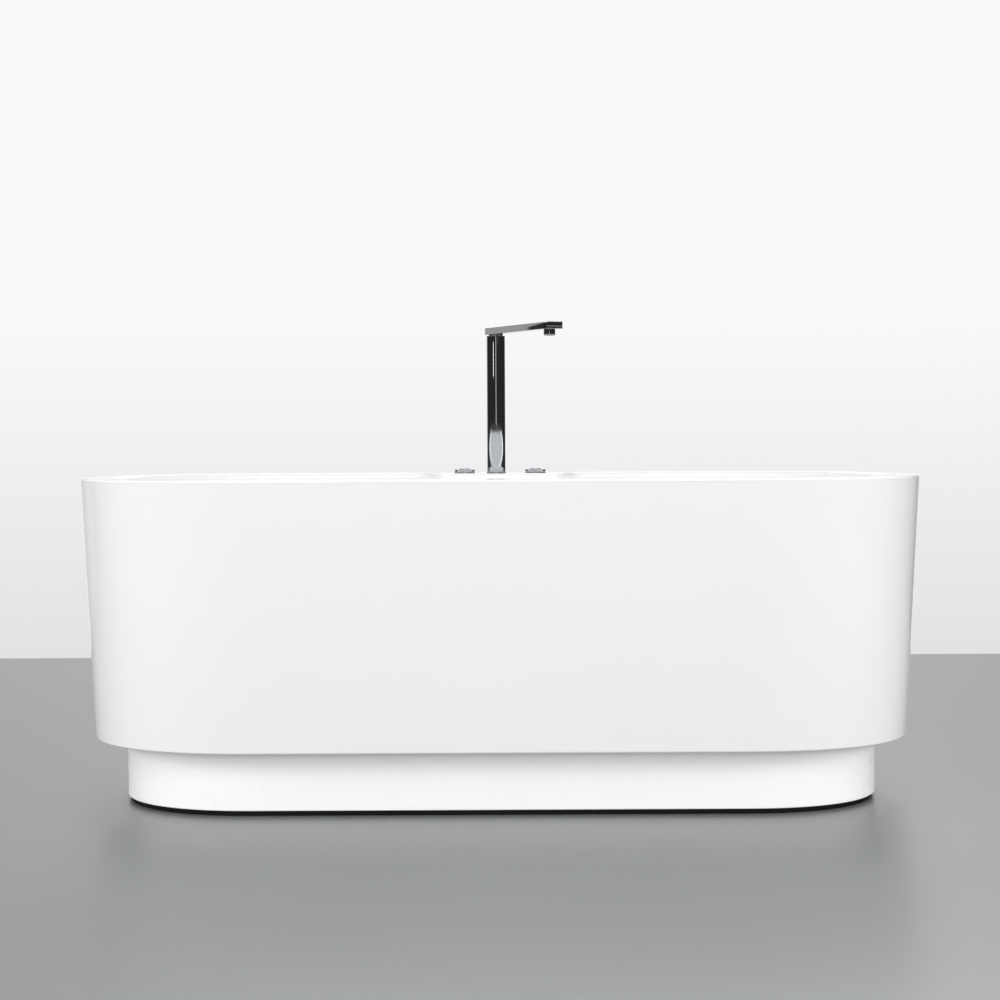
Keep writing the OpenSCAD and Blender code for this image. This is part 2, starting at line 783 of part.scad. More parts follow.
module spout_tee() {
    color("goldenrod") at_column() difference() {
        union() {
            translate([0, 0, tee_z - 12]) cylinder(d = 28, h = 32);
            translate([-24, 0, tee_z]) rotate([0, 90, 0]) cylinder(d = 20, h = 48);
        }
        translate([0, 0, tee_z]) cylinder(d = riser_d + 2 * fit_gap, h = 30);
        translate([-25, 0, tee_z]) rotate([0, 90, 0]) cylinder(d = pipe_d + 2 * fit_gap, h = 50);
    }
}

module riser_tube() {
    color("goldenrod") at_column() difference() {
        translate([0, 0, tee_z + 8]) cylinder(d = riser_d, h = column_top - 4 - tee_z - 8);
        translate([0, 0, tee_z + 7]) cylinder(d = riser_d - 3, h = column_top - tee_z);
    }
}

module swivel_bush() {
    color("white") at_column() translate([0, 0, column_top - bush_l]) difference() {
        cylinder(d = bore_d, h = bush_l);
        translate([0, 0, -1]) cylinder(d = spigot_d + 2 * fit_gap, h = bush_l + 2);
        translate([0, 0, groove_z - column_top + bush_l]) rotate([-90, 0, 0]) cylinder(d = 4, h = column_d);
    }
}

// Grub screw at the back of the column, whose tip runs in the spigot's groove and holds the arm down
module retaining_screw() {
    color("silver") at_column() translate([0, column_d / 2 - screw_l - 0.3, groove_z]) rotate([-90, 0, 0])
        difference() {
            cylinder(d = 4, h = screw_l);
            translate([0, 0, screw_l - 2]) cylinder(d = 2, h = 3, $fn = 6);
        }
}

module swivel_washer() {
    color("silver") at_column() translate([0, 0, column_top]) difference() {
        cylinder(d = bore_d - 3, h = swivel_h - fit_gap);
        translate([0, 0, -1]) cylinder(d = spigot_d + 2 * fit_gap, h = swivel_h + 2);
    }
}

aerator_at = arm_reach - aerator_inset;
o_ring_z = column_top - bush_l + 8;
o_ring_d = 2.4;

// Puts a part made pointing along +X into the arm's place at rest
module on_arm() {
    translate([column_x, tap_y, 0]) rotate(arm_turn - 90) children();
}

module arm_plate() {
    tail = 18;
    corner = 1.2;
    translate([0, 0, arm_z]) difference() {
        translate([-tail, -arm_w / 2, 0]) cube([arm_reach + tail, arm_w, arm_t]);
        for (side = [-1, 1], end = [-tail, arm_reach]) translate([end, side * arm_w / 2, -1])
            difference() {
                translate([-corner, -corner, 0]) cube([2 * corner, 2 * corner, arm_t + 2]);
                translate([end < 0 ? corner : -corner, -side * corner, -1])
                    cylinder(r = corner, h = arm_t + 4);
            }
    }
}

module spout_arm() {
    color("silver") on_arm() difference() {
        union() {
            arm_plate();
            translate([0, 0, column_top - bush_l]) cylinder(d = spigot_d, h = bush_l + swivel_h);
        }
        translate([0, 0, column_top - bush_l - 1])
            cylinder(d = riser_d + 2 * fit_gap, h = bush_l + swivel_h + arm_t / 2);
        translate([0, 0, o_ring_z - 1.5]) cylinder(d = riser_d + 2 * o_ring_d + 0.4, h = 3);
        translate([0, 0, groove_z - 2.5]) difference() {
            cylinder(d = spigot_d + 1, h = 5);
            translate([0, 0, -1]) cylinder(d = spigot_d - 4, h = 7);
        }
        translate([0, 0, arm_z + arm_t / 2]) rotate([0, 90, 0]) cylinder(d = 9, h = aerator_at);
        translate([aerator_at, 0, arm_z - 1]) cylinder(d = aerator_d - 4, h = arm_t / 2 + 1);
    }
}

module spout_o_ring() {
    color("black") on_arm() translate([0, 0, o_ring_z]) rotate_extrude()
        translate([riser_d / 2 + o_ring_d / 2 + 0.1, 0]) circle(d = o_ring_d);
}

module aerator_shell() {
    color("silver") on_arm() translate([aerator_at, 0, arm_z - aerator_h]) difference() {
        union() {
            cylinder(d = aerator_d, h = aerator_h);
            translate([0, 0, aerator_h - 0.01]) cylinder(d = aerator_d - 4 - 2 * fit_gap, h = 5);
        }
        translate([0, 0, -1]) cylinder(d = aerator_d - 6, h = aerator_h + 8);
    }
}

module aerator_insert() {
    color("whitesmoke") on_arm() translate([aerator_at, 0, arm_z - aerator_h + 1.5]) difference() {
        cylinder(d = aerator_d - 6 - 2 * fit_gap, h = 9);
        for (k = [1:3], i = [0:k * 6 - 1]) rotate(360 * i / (k * 6)) translate([k * 2.4, 0, -1])
            cylinder(d = 1.3, h = 11);
    }
}

// ---------------------------------------------------------------- valves

knob_ring_h = 2;
knob_z = tub_h + knob_ring_h;
valve_z = tee_z;
spindle_w = 9;
cartridge_d = 18;
cartridge_l = 44;

module at_valve(side) {
    translate([side * knob_x, tap_y, 0]) children();
}

module knob_ring(side) {
    color("silver") at_valve(side) translate([0, 0, tub_h]) difference() {
        cylinder(d = knob_d + 1, h = knob_ring_h);
        translate([0, 0, -1]) cylinder(d = neck_d + thread_gap, h = knob_ring_h + 2);
    }
}

// Low round knob with a raised middle, a finger notch in its edge, and its drive spindle below
module knob(side) {
    r = knob_d / 2;
    top = knob_h - 0.3;
    step_h = 2;
    color("silver") at_valve(side) translate([0, 0, knob_z + 0.3]) {
        difference() {
            rotate_extrude() polygon([
                [0, 0], [r - 0.6, 0], [r, 0.6], [r, top - step_h - 1.2], [r - 0.4, top - step_h - 0.4],
                [r - 1.2, top - step_h], [r - 9, top - step_h], [r - 10, top - step_h + 0.4],
                [r - 10, top - 0.5], [r - 10.5, top], [0, top]
            ]);
            translate([0, 0, -1]) cylinder(d = neck_d + 1, h = 2);
            translate([0, -r - 3, -1]) cylinder(d = 11, h = top);
        }
        translate([0, 0, -22]) cylinder(d = spindle_w, h = 24);
    }
}

module cartridge(side) {
    color("gold") at_valve(side) translate([0, 0, knob_z - 0.7 - cartridge_l]) difference() {
        cylinder(d = cartridge_d, h = cartridge_l);
        translate([0, 0, cartridge_l - 23]) cylinder(d = spindle_w + 2 * fit_gap, h = 24);
        translate([0, 0, -1]) cylinder(d = 8, h = cartridge_l);
    }
}

module valve(side) {
    top = tub_h + 1.5;
    color("goldenrod") at_valve(side) difference() {
        union() {
            translate([0, 0, valve_z + 14]) cylinder(d = neck_d, h = top - valve_z - 14);
            translate([0, 0, valve_z - 14]) cylinder(d = 30, h = 34);
            translate([0, 0, valve_z - 34]) cylinder(d = inlet_d, h = 21);
            translate([0, 0, valve_z]) rotate([0, -side * 90, 0]) cylinder(d = 20, h = 24);
        }
        translate([0, 0, knob_z - 0.7 - cartridge_l]) cylinder(d = cartridge_d, h = cartridge_l + 5);
        translate([0, 0, valve_z - 35]) cylinder(d = 14, h = knob_z - cartridge_l - valve_z + 35);
        translate([-side * 8, 0, valve_z]) rotate([0, -side * 90, 0])
            cylinder(d = pipe_d + 2 * fit_gap, h = 20);
    }
}

module valve_nuts() {
    color("goldenrod") for (side = [-1, 1]) at_valve(side) translate([0, 0, board_under - nut_h])
        difference() {
            cylinder(d = 40, h = nut_h, $fn = 6);
            translate([0, 0, -1]) cylinder(d = neck_d + thread_gap, h = nut_h + 2);
        }
}

// Copper pipes that carry the hot and the cold water from the valves to the tee
module mixing_pipes() {
    reach = 12;
    depth = 4;
    color("peru") for (ends = [[reach - knob_x, column_x - depth], [column_x + depth, knob_x - reach]])
        translate([ends[0], tap_y, valve_z]) rotate([0, 90, 0]) difference() {
            cylinder(d = pipe_d, h = ends[1] - ends[0]);
            translate([0, 0, -1]) cylinder(d = pipe_d - 2, h = ends[1] - ends[0] + 2);
        }
}

// Hot and cold supply tails: down from each valve, across behind the basin, and straight down to
// the floor, with the union nut that holds each one to its valve
tail_z = 25;
tail_straight = 60;
tail_run = 220;
tail_foot_y = half_w - tail_inset;
union_h = 30;
union_z = valve_z - 20 - union_h;

// Distance of a tail from the tub's middle at height z
function tail_y(z) =
    let (t = max(0, min(1, (union_z - z) / tail_run)))
    tap_y + (tail_foot_y - tap_y) * t * t * (3 - 2 * t);

module supply_tails() {
    top = valve_z - 34.5;
    low = tail_z + tail_straight - past;
    steps = 20;
    color("peru") for (side = [-1, 1]) {
        difference() {
            union() {
                sweep([for (k = [0:steps])
                    let (z = top + (low - top) * k / steps)
                    [side * knob_x, tail_y(z), z]], tail_d, 12);
                translate([side * knob_x, tail_foot_y, tail_z]) cylinder(d = tail_d, h = tail_straight);
            }
            translate([side * knob_x, tail_foot_y, tail_z - past])
                cylinder(d = tail_d - 2, h = tail_straight - 4);
        }
        at_valve(side) translate([0, 0, union_z]) difference() {
            cylinder(d = 30, h = union_h, $fn = 6);
            translate([0, 0, -past]) cylinder(d = tail_d + 2 * thread_gap, h = union_h + 2 * past);
            translate([0, 0, union_h - 16]) cylinder(d = inlet_d + thread_gap, h = 16 + past);
        }
    }
}

basin();
outer_shell();
base_board();
ledge_board();
rim_batten();
plinth();
plinth_seal();
plinth_brackets();
rail(-1);  // front_rail
rail(1);  // rear_rail
crossbeam(-1);  // left_crossbeam
crossbeam(1);  // right_crossbeam
frame_bolts();
foot_pads();
foot_rods();
foot_nuts();
bracket_screws();
drain_flange();
waste_seal();
waste_body();
plug_cap();
plug_stem();
plug_seal();
lift_arm();
lift_pin();
trap_cup();
trap_nut();
outlet_pipe();
outlet_nut();
overflow_knob();
overflow_spindle();
overflow_seal();
overflow_body();
overflow_hose();
plug_cable();
spout_base_ring();
spout_column();
spout_shank();
spout_washer();
spout_nut();
spout_tee();
riser_tube();
swivel_bush();
swivel_washer();
retaining_screw();
spout_arm();
spout_o_ring();
aerator_shell();
aerator_insert();
for (side = [-1, 1]) {
    name = side < 0 ? "hot" : "cold";
    knob_ring(side);
    knob(side);
    cartridge(side);
    valve(side);
}
valve_nuts();
mixing_pipes();
supply_tails();
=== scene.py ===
"""Looks for a freestanding bathtub: gloss acrylic shells on a recessed plinth, and a chrome tap on a rear
ledge.

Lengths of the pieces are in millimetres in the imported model's own frame, +X along the tub, +Y towards the
tap ledge and +Z up, and piece() turns them to metres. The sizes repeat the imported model's.
"""
import json

import bpy
import numpy as np
from mathutils import Matrix, Vector


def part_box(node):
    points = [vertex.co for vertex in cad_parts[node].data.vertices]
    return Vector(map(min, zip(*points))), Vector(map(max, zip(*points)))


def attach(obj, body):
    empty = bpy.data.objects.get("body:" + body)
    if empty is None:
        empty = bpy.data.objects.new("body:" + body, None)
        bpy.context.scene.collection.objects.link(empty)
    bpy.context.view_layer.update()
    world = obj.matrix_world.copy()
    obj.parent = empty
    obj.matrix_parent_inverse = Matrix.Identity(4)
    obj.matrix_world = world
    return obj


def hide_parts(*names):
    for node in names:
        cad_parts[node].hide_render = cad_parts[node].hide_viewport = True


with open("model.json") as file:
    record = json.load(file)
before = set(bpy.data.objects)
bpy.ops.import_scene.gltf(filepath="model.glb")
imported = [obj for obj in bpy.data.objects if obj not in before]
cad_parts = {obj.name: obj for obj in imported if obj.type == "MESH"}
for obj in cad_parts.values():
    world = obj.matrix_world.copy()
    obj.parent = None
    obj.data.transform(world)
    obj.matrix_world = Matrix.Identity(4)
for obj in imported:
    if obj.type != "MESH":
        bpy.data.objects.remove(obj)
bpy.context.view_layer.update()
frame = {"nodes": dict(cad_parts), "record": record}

NODES = frame["nodes"]
MM = 0.001


def corner(node, end):
    """Lowest (0) or highest (1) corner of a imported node, in millimetres."""
    return np.array(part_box(node)[end]) / MM


# ---------------------------------------------------------------- sizes

HALF_L, HALF_W, TUB_H = corner("basin", 1)
SHELL_T = 6
BASIN_Z = corner("basin", 0)[2] + SHELL_T
SKIRT_Z = corner("outer_shell", 0)[2]
DRAW_IN = 26
SHELF_W = 83
RIM_W, EDGE_R, INNER_R = 48, 4, 10
END_SLOPE, SIDE_SLOPE = 262, 120
LEDGE_W, LEDGE_D, LEDGE_SLOPE, LEDGE_BLEND = 296, 160, 48, 56
END_POWER = 2.2
PLINTH_FACE, PLINTH_T = 89, 8
SEAL_INSET, SEAL_T = 5, 12
WASTE_D = 52

TAP_Y = HALF_W - 70
COLUMN = np.array([-8, TAP_Y])
COLUMN_D, COLUMN_BORE = 40, 34
COLUMN_TOP = corner("spout_column", 1)[2]
ARM_Z = COLUMN_TOP + 3
# The arm's direction at rest: 24 degrees to the right of straight over the basin, which is -Y
ARM_TURN = np.radians(24 - 90)
ARM_TAIL, ARM_REACH, ARM_W, ARM_T = 18, 300, 36, 15
AERATOR_AT = 274
SPIGOT_R, SPIGOT_L = 13, 24
KNOB_X, KNOB_R, KNOB_RING_BORE = 77, 22, 12.1
OVERFLOW_Z, OVERFLOW_R = 558, 34
HOSE_D, HOSE_BEND, HOSE_LOW = 26, 60, 140
CABLE_X, CABLE_R = 24, 2.95

# A solid turned piece starts this close to its axis, and a point on the axis closes it
AXIS = 0.1
# Steps round a quarter of the tub's outline: the end, end to ledge, half the ledge
END_STEPS, SIDE_STEPS, LEDGE_STEPS = 56, 10, 30
# Edges sharper than this many degrees stay crisp
CREASE = 50


# ---------------------------------------------------------------- shapes

def rounded(corners, steps=5):
    """A profile from corners (across, up, radius). Each corner is the arc that touches both its edges,
    with a point a quarter of the radius outside each end, so that the flats beside it shade as flats. A
    corner of radius 0 is the point itself, as where a profile ends at the axis."""
    spots = np.array([c[:2] for c in corners], float)
    line = []
    for k, (here, radius) in enumerate(zip(spots, [c[2] for c in corners])):
        if radius == 0:
            line.append(here[None])
            continue
        before = spots[k - 1] - here
        after = spots[(k + 1) % len(spots)] - here
        before, after = before / np.linalg.norm(before), after / np.linalg.norm(after)
        open_angle = np.arccos(np.clip(before @ after, -1, 1))
        reach = radius / np.tan(open_angle / 2)
        halfway = (before + after) / np.linalg.norm(before + after)
        middle = here + halfway * radius / np.sin(open_angle / 2)
        start, end = here + before * reach - middle, here + after * reach - middle
        bend = np.pi - open_angle
        share = np.linspace(0, 1, steps + 1)[:, None]
        arc = middle + (np.sin((1 - share) * bend) * start + np.sin(share * bend) * end) / np.sin(bend)
        margin = reach + radius / 4
        line.append(np.vstack([here + before * margin, arc, here + after * margin]))
    return np.vstack(line)


def turned(profile, count=96):
    """Rings round +Z: a profile point (r, z) becomes (r cos t, r sin t, z) at every angle t."""
    turn = np.arange(count) * 2 * np.pi / count
    r, z = profile[:, :1], profile[:, 1:]
    return np.stack([r * np.cos(turn), r * np.sin(turn), z + 0 * turn], axis=-1)


def notched(rings, inner_r, outer_r, angles, centre_r, notch_r):
    """Finger notches in a turned piece's edge. A notch is a circle of notch_r about a point at centre_r.
    Where a ray from the axis meets it at distance d, every radius r beyond inner_r becomes
    inner_r + (r - inner_r) (d - inner_r) / (outer_r - inner_r), so the edge keeps its own profile."""
    turn = np.arctan2(rings[..., 1], rings[..., 0])
    radius = np.hypot(rings[..., 0], rings[..., 1])
    edge = np.full_like(turn, outer_r)
    for angle in angles:
        off = turn - angle
        across = centre_r * np.sin(off)
        inside = (np.abs(across) < notch_r) & (np.cos(off) > 0)
        depth = np.sqrt(np.clip(notch_r ** 2 - across ** 2, 0, None))
        edge = np.where(inside, np.minimum(edge, centre_r * np.cos(off) - depth), edge)
    moved = inner_r + (radius - inner_r) * (edge - inner_r) / (outer_r - inner_r)
    scale = np.where(radius > inner_r, moved / np.maximum(radius, 1e-9), 1)
    return rings * np.stack([scale, scale, np.ones_like(scale)], axis=-1)


def tube(path, radius, count=32):
    """Rings along a path that lies in a YZ plane: at each point, radius times (cos t X + sin t N), where N
    is the path's normal in that plane. Radius is one number, or one for each point."""
    along = np.gradient(path, axis=0)
    along /= np.linalg.norm(along, axis=1, keepdims=True)
    side = np.array([1.0, 0, 0])
    normal = np.cross(along, side)
    turn = (np.arange(count) * 2 * np.pi / count)[:, None]
    radius = np.broadcast_to(radius, len(path))[:, None, None]
    return path[:, None] + radius * (np.cos(turn) * side + np.sin(turn) * normal[:, None])


def smooth_step(t):
    """3 t^2 - 2 t^3, with t held between 0 and 1."""
    t = np.clip(t, 0, 1)
    return t * t * (3 - 2 * t)


def outline(a, b, inward=0.0):
    """The tub's plan outline, half-length a and half-width b, once round from its right-hand end. An end is
    x = s + b cos(t)^(2/n), y = b sin(t)^(2/n) with s = a - b, then the side is straight. On the rear side
    the ledge brings it in by inward, and the ledge's ends run out by a smooth step."""
    turn = np.linspace(0, np.pi / 2, END_STEPS + 1)
    s, ledge_end = a - b, (LEDGE_W + LEDGE_BLEND) / 2
    side = np.linspace(s, ledge_end, SIDE_STEPS + 1)[1:]
    ledge = np.linspace(ledge_end, 0, LEDGE_STEPS + 1)[1:]
    end_x = s + b * np.cos(turn).clip(0) ** (2 / END_POWER)
    x = np.concatenate([end_x, side, ledge])
    y = np.concatenate([b * np.sin(turn) ** (2 / END_POWER), np.full(SIDE_STEPS + LEDGE_STEPS, b)])
    rear = y - inward * smooth_step((ledge_end - x) / LEDGE_BLEND)
    back = slice(None, 0, -1)
    return np.stack([
        np.concatenate([x[:-1], -x[back], -x[:-1], x[back]]),
        np.concatenate([rear[:-1], rear[back], -y[:-1], -y[back]])], axis=-1)


def ring(inset, z, inward=0.0):
    """The outline at an inset from the rim's outer edge, at height z."""
    flat = outline(HALF_L - inset, HALF_W - inset, inward)
    return np.column_stack([flat, np.full(len(flat), z)])


def ring_loop(profile):
    """Rings for a closed profile of (inset, z) carried round the outline."""
    return np.array([ring(inset, z) for inset, z in profile])


# ---------------------------------------------------------------- meshes

def skin(rings, looped):
    """Points and faces of the surface through rings (rows, columns, 3). Looped joins the last ring to the
    first; otherwise a point at each end ring's middle closes it. Faces are turned to give a positive
    volume."""
    rows, columns, _ = rings.shape
    points = rings.reshape(-1, 3)
    index = np.arange(rows * columns).reshape(rows, columns)
    low = index if looped else index[:-1]
    high = np.roll(index, -1, axis=0) if looped else index[1:]
    quads = np.stack([low, np.roll(low, -1, 1), np.roll(high, -1, 1), high], axis=-1).reshape(-1, 4)
    caps = np.empty((0, 3), int)
    if not looped:
        first, last = index[0], index[-1]
        caps = np.vstack([
            np.column_stack([np.roll(first, -1), first, np.full(columns, len(points))]),
            np.column_stack([last, np.roll(last, -1), np.full(columns, len(points) + 1)])])
        points = np.vstack([points, rings[0].mean(axis=0), rings[-1].mean(axis=0)])
    triangles = np.vstack([quads[:, :3], quads[:, [0, 2, 3]], caps])
    a, b, c = (points[triangles[:, k]] for k in range(3))
    if np.einsum("ij,ij->i", a, np.cross(b, c)).sum() < 0:
        quads, caps = quads[:, ::-1], caps[:, ::-1]
    return points, quads, caps


def piece(name, skins, material, body, nodes):
    """One object from closed skins, in metres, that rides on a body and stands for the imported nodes."""
    points, faces, start = [], [], 0
    for part, quads, caps in skins:
        faces += (quads + start).tolist() + (caps + start).tolist()
        points.append(part)
        start += len(part)
    mesh = bpy.data.meshes.new(name)
    mesh.from_pydata(np.vstack(points) * MM, [], faces)
    mesh.shade_smooth()
    mesh.set_sharp_from_angle(angle=np.radians(CREASE))
    made = bpy.data.objects.new(name, mesh)
    bpy.context.scene.collection.objects.link(made)
    mesh.materials.append(material)
    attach(made, body)
    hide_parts(*nodes)


# ---------------------------------------------------------------- materials

def linear(colour):
    """An sRGB hex colour as linear RGBA."""
    parts = np.array([int(colour[k:k + 2], 16) for k in (1, 3, 5)]) / 255
    low, high = parts / 12.92, ((parts + 0.055) / 1.055) ** 2.4
    return (*np.where(parts <= 0.04045, low, high), 1.0)


def add(tree, kind, settings, links=()):
    """Adds one node. Settings are its properties or its sockets' values, and a link is (socket, node,
    output)."""
    node = tree.nodes.new("ShaderNode" + kind)
    for key, value in settings.items():
        if isinstance(key, str) and hasattr(node, key):
            setattr(node, key, value)
        else:
            node.inputs[key].default_value = value
    for socket, source, output in links:
        tree.links.new(source.outputs[output], node.inputs[socket])
    return node


def blank(name, **shader):
    """A new material with its shader's own sockets set, and a node for the piece's Object coordinates."""
    material = bpy.data.materials.new(name)
    material.use_nodes = True
    tree = material.node_tree
    surface = tree.nodes["Principled BSDF"]
    for socket, value in shader.items():
        surface.inputs[socket.replace("_", " ")].default_value = value
    return material, tree, surface, add(tree, "TexCoord", {})


def per_mm(size):
    """A texture's scale, in features per metre, for features of a size in millimetres."""
    return 1 / (size * MM)


def mottle(tree, place, size, detail=3.0, stretch=None):
    """Noise with features of a size in millimetres, drawn out along an axis where stretch says so."""
    source, output = place, "Object"
    if stretch:
        source = add(tree, "Mapping", {"Scale": stretch}, [("Vector", place, "Object")])
        output = "Vector"
    return add(tree, "TexNoise", {"Scale": per_mm(size), "Detail": detail}, [("Vector", source, output)])


def spread(tree, texture, output, socket, low, high):
    """Carries a texture's middle range to the values between low and high, into a shader's socket."""
    made = add(tree, "MapRange", {"From Min": 0.3, "From Max": 0.7, "To Min": low, "To Max": high},
               [("Value", texture, output)])
    tree.links.new(made.outputs["Result"], socket)


def tint(tree, texture, output, surface, first, second):
    """Colours a surface between two hex colours by a texture."""
    made = add(tree, "Mix", {"data_type": "RGBA", 6: linear(first), 7: linear(second)},
               [(0, texture, output)])
    tree.links.new(made.outputs[2], surface.inputs["Base Color"])


def relief(tree, surface, texture, output, depth, under=None):
    """Bumps a surface by a texture with a depth in millimetres, over an earlier bump if there is one."""
    links = [("Height", texture, output)] + ([("Normal", under, "Normal")] if under else [])
    made = add(tree, "Bump", {"Distance": depth * MM, "Strength": 1.0}, links)
    tree.links.new(made.outputs["Normal"], surface.inputs["Normal"])
    return made


def vacuum_formed_acrylic(name, first, second):
    """Sheet acrylic drawn over a mould: a deep gloss, with a slow wave left by the forming and a faint
    orange peel, which break up the edges of its reflections."""
    material, tree, surface, place = blank(name, IOR=1.49)
    tint(tree, mottle(tree, place, 260), "Fac", surface, first, second)
    spread(tree, mottle(tree, place, 90, 5), "Fac", surface.inputs["Roughness"], 0.055, 0.11)
    wave = relief(tree, surface, mottle(tree, place, 170, 0), "Fac", 0.5)
    relief(tree, surface, mottle(tree, place, 9, 1), "Fac", 0.012, under=wave)
    return material


def sprayed_panel():
    """Moulded panel sprayed with satin lacquer: soft highlights and a fine, even stipple of 3 mm."""
    material, tree, surface, place = blank("satin_lacquered_panel", IOR=1.49)
    tint(tree, mottle(tree, place, 180), "Fac", surface, "#FCFCFB", "#FAFAFA")
    spread(tree, mottle(tree, place, 60, 4), "Fac", surface.inputs["Roughness"], 0.27, 0.3)
    relief(tree, surface, mottle(tree, place, 3, 1), "Fac", 0.01)
    return material


def chrome_plate():
    """Brass polished and plated with chromium: a cold mirror, with faint wiping marks that blur it."""
    material, tree, surface, place = blank("polished_chrome_plate", Metallic=1.0)
    tint(tree, mottle(tree, place, 40), "Fac", surface, "#C6C9CD", "#D2D4D7")
    marks = mottle(tree, place, 14, 4, (1.0, 1.0, 0.35))
    spread(tree, marks, "Fac", surface.inputs["Roughness"], 0.008, 0.035)
    relief(tree, surface, mottle(tree, place, 22, 1), "Fac", 0.006)
    return material


def foam_rubber():
    """Closed-cell foam strip: matt black, with cells of 1.5 mm."""
    material, tree, surface, place = blank("closed_cell_foam_rubber", Roughness=0.95)
    cells = add(tree, "TexVoronoi", {"Scale": per_mm(1.5)}, [("Vector", place, "Object")])
    tint(tree, cells, "Distance", surface, "#050505", "#141415")
    relief(tree, surface, cells, "Distance", 0.3)
    return material


def birch_plywood():
    """Rotary-cut birch veneers of 1.5 mm, glued crosswise: long pale grain on the faces, stripes on the
    edges."""
    material, tree, surface, place = blank("birch_plywood", Roughness=0.62)
    grain = mottle(tree, place, 7, 6, (0.08, 1.0, 1.0))
    face = add(tree, "Mix", {"data_type": "RGBA", 6: linear("#D9B98A"), 7: linear("#B98F5E")},
               [(0, grain, "Fac")])
    parts = add(tree, "SeparateXYZ", {}, [("Vector", place, "Object")])
    plies = add(tree, "Math", {"operation": "MULTIPLY", 1: per_mm(3)}, [(0, parts, "Z")])
    phase = add(tree, "Math", {"operation": "FRACT"}, [(0, plies, "Value")])
    layer = add(tree, "Math", {"operation": "GREATER_THAN", 1: 0.5}, [(0, phase, "Value")])
    edge = add(tree, "Mix", {"data_type": "RGBA", 7: linear("#8E653C")},
               [(0, layer, "Value"), (6, face, 2)])
    facing = add(tree, "NewGeometry", {})
    upright = add(tree, "SeparateXYZ", {}, [("Vector", facing, "Normal")])
    flat = add(tree, "Math", {"operation": "ABSOLUTE"}, [(0, upright, "Z")])
    whole = add(tree, "Mix", {"data_type": "RGBA"}, [(0, flat, "Value"), (6, edge, 2), (7, face, 2)])
    tree.links.new(whole.outputs[2], surface.inputs["Base Color"])
    relief(tree, surface, grain, "Fac", 0.15)
    return material


def zinc_steel():
    """Mild steel, hot-dip galvanised: dull grey metal in crystals of 9 mm, each with its own sheen."""
    material, tree, surface, place = blank("galvanised_steel", Metallic=1.0)
    crystals = add(tree, "TexVoronoi", {"Scale": per_mm(9)}, [("Vector", place, "Object")])
    level = add(tree, "SeparateColor", {}, [("Color", crystals, "Color")])
    tint(tree, level, "Red", surface, "#9EA3A8", "#C3C7CA")
    spread(tree, level, "Green", surface.inputs["Roughness"], 0.3, 0.5)
    return material


def moulded(name, first, second, low, high, ior=1.5):
    """An injection-moulded plastic: even colour, a sheen that shifts slowly, and the mould's fine
    spark-eroded grain of 0.8 mm."""
    material, tree, surface, place = blank(name, IOR=ior)
    tint(tree, mottle(tree, place, 30), "Fac", surface, first, second)
    spread(tree, mottle(tree, place, 18, 4), "Fac", surface.inputs["Roughness"], low, high)
    relief(tree, surface, mottle(tree, place, 0.8, 2), "Fac", 0.02)
    return material


def drawn_metal(name, first, second, low, high, size, stretch):
    """A bare metal with the fine lines of the tool or die that shaped it, drawn out along one direction."""
    material, tree, surface, place = blank(name, Metallic=1.0)
    tint(tree, mottle(tree, place, 25, 4), "Fac", surface, first, second)
    lines = mottle(tree, place, size, 3, stretch)
    spread(tree, lines, "Fac", surface.inputs["Roughness"], low, high)
    relief(tree, surface, lines, "Fac", 0.01)
    return material


def cast_brass():
    """Sand-cast brass, machined on its faces: warm, half dull, with a grain of 1 mm."""
    material, tree, surface, place = blank("cast_brass", Metallic=1.0)
    tint(tree, mottle(tree, place, 20, 4), "Fac", surface, "#C9A15A", "#A98243")
    grain = mottle(tree, place, 1, 3)
    spread(tree, grain, "Fac", surface.inputs["Roughness"], 0.28, 0.46)
    relief(tree, surface, grain, "Fac", 0.06)
    return material


FINISHES = {
    "acrylic_basin": vacuum_formed_acrylic("gloss_acrylic_basin", "#F1F1F3", "#EFEFF1"),
    "acrylic_shell": vacuum_formed_acrylic("gloss_acrylic_skirt", "#EDEDEF", "#EBEBED"),
    "plinth_panel": sprayed_panel(),
    "chrome_plate": chrome_plate(),
    "black_seal": foam_rubber(),
    "plywood": birch_plywood(),
    "zinc_steel": zinc_steel(),
    "black_nylon": moulded("moulded_black_nylon", "#1B1B1C", "#232324", 0.42, 0.58, 1.53),
    "rubber_seal": moulded("moulded_epdm_rubber", "#161616", "#202020", 0.7, 0.85, 1.52),
    "white_polypropylene": moulded("moulded_white_polypropylene", "#E9E9E4", "#E1E1DB", 0.3, 0.45, 1.49),
    "white_acetal": moulded("moulded_white_acetal", "#F0F0EC", "#E8E8E3", 0.2, 0.3, 1.48),
    "grey_hose": moulded("blow_moulded_grey_hose", "#A9ABAD", "#9C9EA1", 0.38, 0.52, 1.49),
    "black_sheath": moulded("extruded_black_sheath", "#18181A", "#222224", 0.4, 0.5, 1.53),
    "stainless_steel": drawn_metal(
        "turned_stainless_steel", "#B4B4B3", "#C6C6C4", 0.18, 0.32, 1.2, (1.0, 1.0, 6.0)),
    "brass": cast_brass(),
    "copper": drawn_metal("drawn_copper_tube", "#C98361", "#A9654A", 0.2, 0.36, 3, (1.0, 1.0, 0.05)),
}


# ---------------------------------------------------------------- tub

def fixed_piece(name, rings, slot, node, looped=True):
    """A piece of one skin on the tub itself, in its slot's finish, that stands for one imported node."""
    piece(name, [skin(rings, looped)], FINISHES[slot], "tub", [node])


def basin_wall(t):
    """How far in and how far down the wall is at t, from the rim (0) to the floor (1), as shares. Both are
    cubic Bezier curves, 3 (1-t)^2 t p + 3 (1-t) t^2 q + t^3."""
    near, far, end = 3 * (1 - t) ** 2 * t, 3 * (1 - t) * t ** 2, t ** 3
    return near * 0.18 + far * 0.38 + end, near * 0.55 + far + end


